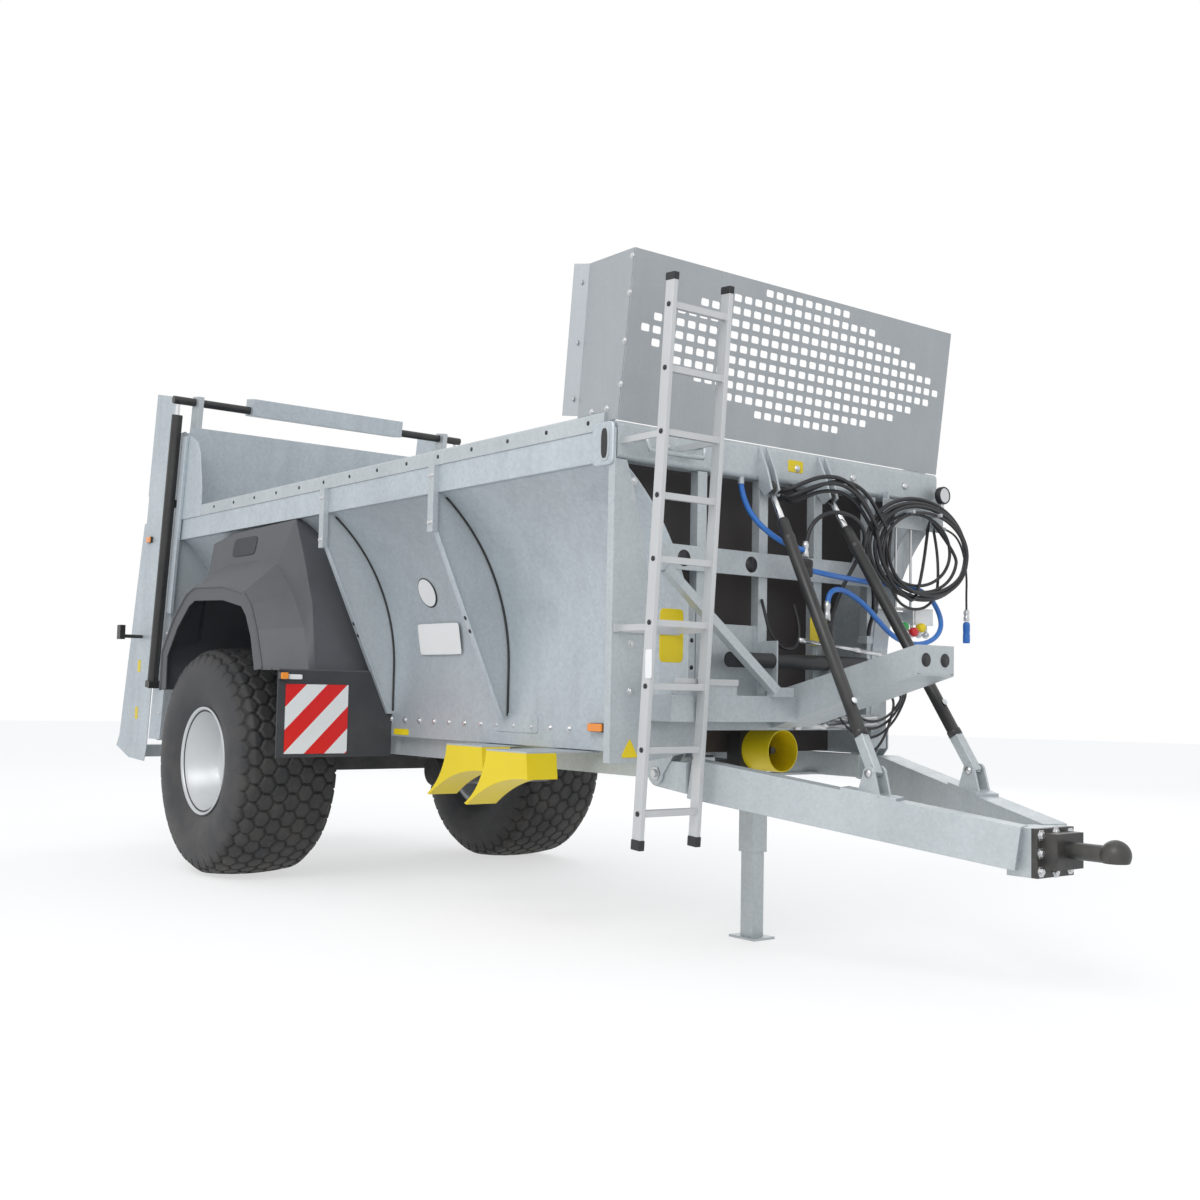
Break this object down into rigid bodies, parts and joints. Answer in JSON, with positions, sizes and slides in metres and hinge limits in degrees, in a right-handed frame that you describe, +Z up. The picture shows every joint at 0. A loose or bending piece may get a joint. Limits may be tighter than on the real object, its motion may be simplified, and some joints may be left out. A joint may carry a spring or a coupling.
{
  "type": "manure spreader",
  "caption": "Towed single-axle manure spreader with funnel-shaped galvanised body, sliding rear gate, upright beaters, sprung drawbar and telescopic jack",
  "frame": {"origin": "on the ground, at the middle of the overall length and width", "axes": "+X forward towards the hitch, +Y to the left of the machine, +Z up"},
  "size_m": [8.2019, 2.914, 3.533],
  "materials": {
    "aluminium_section": "drawn section",
    "beater_paint": "scoured steel",
    "black_paint": "satin",
    "blue_hose": "translucent sleeve",
    "chrome_rod": "polished",
    "dark_panel": "film faced board, dull",
    "galvanised_steel": "hot dip galvanised, spangled",
    "guard_plastic": "moulded, fine grain",
    "hose_rubber": "smooth, slightly glossy",
    "lamp_plastic": "lens",
    "plated_steel": "zinc plated",
    "rim_paint": "silver paint, satin",
    "sign_sheet": "red and white slanted bands, reflective",
    "soft_rubber": "matt",
    "tyre_rubber": "moulded block tread, dusty",
    "yellow_plastic": "moulded"
  },
  "bodies": {
    "machine": {"air_controls": "plated_steel", "air_tank": "black_paint", "axle": "black_paint", "ball_coupling": "black_paint", "beater_frame": "galvanised_steel", "beater_housing": "galvanised_steel", "chassis_beams": "galvanised_steel", "cross_members": "galvanised_steel", "drawbar": "galvanised_steel", "drawbar_brackets": "galvanised_steel", "floor": "galvanised_steel", "floor_conveyor": "black_paint", "front_frame": "galvanised_steel", "front_guard": "galvanised_steel", "front_panel": "dark_panel", "front_platform": "galvanised_steel", "front_posts": "galvanised_steel", "front_top_beam": "galvanised_steel", "gate_cylinders": "black_paint", "gearbox": "black_paint", "guard_wing": "galvanised_steel", "hose_arch": "hose_rubber", "hose_blue_loop": "blue_hose", "hose_blue_short": "blue_hose", "hose_coil": "hose_rubber", "hose_couplers": "plated_steel", "hose_lead": "hose_rubber", "hose_line": "hose_rubber", "hose_rack": "galvanised_steel", "hose_tail": "hose_rubber", "jack_tube": "galvanised_steel", "ladder": "aluminium_section", "marker_lamps": "lamp_plastic", "mud_flaps": "guard_plastic", "mudguards": "guard_plastic", "rear_bulkheads": "galvanised_steel", "rear_cheeks": "galvanised_steel", "rear_posts": "galvanised_steel", "rubber_roll": "soft_rubber", "shaft_guard": "yellow_plastic", "side_walls": "galvanised_steel", "struts": "black_paint", "support_arm": "galvanised_steel", "top_rails": "galvanised_steel", "wall_ribs": "galvanised_steel", "warning_signs": "sign_sheet", "wheel_chocks": "yellow_plastic"},
    "wheel_right": {"tyre_right": "tyre_rubber", "wheel_rim_right": "rim_paint"},
    "beater_right_rotor": {"beater_right": "beater_paint"},
    "wheel_left": {"tyre_left": "tyre_rubber", "wheel_rim_left": "rim_paint"},
    "beater_left_rotor": {"beater_left": "beater_paint"},
    "gate": {"gate_lift_arms": "galvanised_steel", "gate_lift_bar": "black_paint", "gate_rods": "chrome_rod", "lift_bar_cover": "galvanised_steel", "metering_gate": "galvanised_steel"},
    "jack": {"jack_leg": "galvanised_steel"}
  },
  "joints": [
    {"name": "wheel_spin_right", "type": "hinge", "parent": "machine", "child": "wheel_right", "pos_m": [-1.833, -1.1, 0.762], "axis": [0, 1, 0], "continuous": true},
    {"name": "wheel_spin_left", "type": "hinge", "parent": "machine", "child": "wheel_left", "pos_m": [-1.833, 1.1, 0.762], "axis": [0, 1, 0], "continuous": true},
    {"name": "beater_spin_right", "type": "hinge", "parent": "machine", "child": "beater_right_rotor", "pos_m": [-3.713, -0.47, 0.806], "axis": [0.1392, 0, 0.9903], "continuous": true},
    {"name": "beater_spin_left", "type": "hinge", "parent": "machine", "child": "beater_left_rotor", "pos_m": [-3.713, 0.47, 0.806], "axis": [0.1392, 0, 0.9903], "continuous": true},
    {"name": "gate_lift", "type": "slide", "parent": "machine", "child": "gate", "axis": [0.1392, 0, 0.9903], "range_m": [0, 1]},
    {"name": "jack_leg_slide", "type": "slide", "parent": "machine", "child": "jack", "axis": [0, 0, 1], "range_m": [0, 0.28]}
  ]
}
